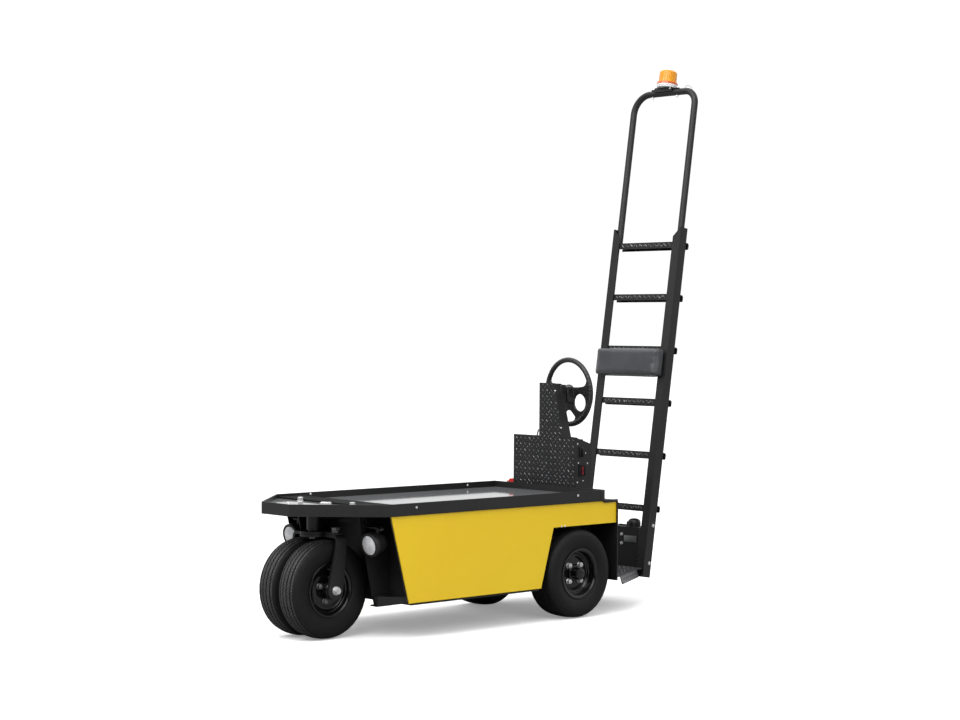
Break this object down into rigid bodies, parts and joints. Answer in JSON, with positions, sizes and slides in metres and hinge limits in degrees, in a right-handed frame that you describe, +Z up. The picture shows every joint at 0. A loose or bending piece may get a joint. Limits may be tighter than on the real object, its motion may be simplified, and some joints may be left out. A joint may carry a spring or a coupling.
{
  "type": "stock chaser",
  "caption": "Stand-on three-wheeled warehouse stock truck with a flat rimmed deck, a steering console, an operator floor and a leaning picking ladder with a beacon.",
  "frame": {"origin": "on the floor, under the middle of the whole vehicle", "axes": "+X forward, +Y to the left, +Z up"},
  "size_m": [2.5108, 0.734, 2.6223],
  "materials": {
    "black_paint": "satin",
    "yellow_paint": "satin",
    "deck_sheet": "gloss",
    "tyre": "matte",
    "bright_steel": "satin",
    "cast_case": "matte",
    "battery_case": "satin",
    "vinyl": "satin",
    "pale_plastic": "satin",
    "amber_lens": "gloss",
    "lamp_glass": "gloss",
    "red_plastic": "satin",
    "black_plastic": "satin",
    "tread_plate": "satin",
    "charger_case": "satin"
  },
  "bodies": {
    "chassis": {"axle_housing": "cast_case", "back_pad": "vinyl", "battery_pack": "battery_case", "battery_tray": "black_paint", "beacon_base": "pale_plastic", "beacon_bracket": "black_paint", "beacon_lens": "amber_lens", "charging_connector": "red_plastic", "console_box": "black_paint", "console_controls": "black_plastic", "console_plate": "tread_plate", "deck_cross_plate": "black_paint", "deck_rim": "black_paint", "deck_sheets": "deck_sheet", "drive_motor": "cast_case", "floor_frame": "black_paint", "foot_pedals": "black_paint", "frame_horns": "black_paint", "headlight_lenses": "lamp_glass", "headlights": "black_paint", "ladder_hoop": "black_paint", "ladder_rails": "black_paint", "ladder_rungs": "tread_plate", "leaf_springs": "black_paint", "nose_rim": "black_paint", "operator_floor": "tread_plate", "rear_box": "charger_case", "rear_box_fittings": "black_plastic", "rear_bulkhead": "black_paint", "rear_ledge": "black_paint", "side_panels": "yellow_paint", "steering_column": "black_paint", "steering_head": "black_paint", "steering_tower": "black_paint", "wheel_housings": "black_paint"},
    "fork": {"fork_yoke": "black_paint", "fork_stem": "black_paint", "steering_arm": "black_paint", "front_axle": "bright_steel"},
    "front_wheels": {"front_tyres": "tyre", "front_rims": "black_paint", "front_hub": "black_paint"},
    "rear_wheel_left": {"rear_tyre_left": "tyre", "rear_rim_left": "black_paint", "rear_hub_left": "black_paint"},
    "rear_wheel_right": {"rear_tyre_right": "tyre", "rear_rim_right": "black_paint", "rear_hub_right": "black_paint"},
    "steering_wheel": {"steering_wheel_rim": "black_plastic", "steering_wheel_hub": "black_paint"}
  },
  "joints": [
    {"name": "steer", "type": "hinge", "parent": "chassis", "child": "fork", "pos_m": [1.04544, 0, 0.45], "axis": [0, 0, 1], "range_deg": [-65, 65]},
    {"name": "front_wheels_spin", "type": "hinge", "parent": "fork", "child": "front_wheels", "pos_m": [1.04544, 0, 0.21], "axis": [0, 1, 0], "continuous": true},
    {"name": "rear_left_spin", "type": "hinge", "parent": "chassis", "child": "rear_wheel_left", "pos_m": [-0.22656, 0.287, 0.204], "axis": [0, 1, 0], "continuous": true},
    {"name": "rear_right_spin", "type": "hinge", "parent": "chassis", "child": "rear_wheel_right", "pos_m": [-0.22656, -0.287, 0.204], "axis": [0, 1, 0], "continuous": true},
    {"name": "steering_wheel_turn", "type": "hinge", "parent": "chassis", "child": "steering_wheel", "pos_m": [-0.52656, -0.0105, 1.02], "axis": [-0.9967, 0.0749, 0.0297], "range_deg": [-390, 390]}
  ],
  "couplings": [
    {"joint": "steering_wheel_turn", "follows": "steer", "ratio": 6}
  ]
}
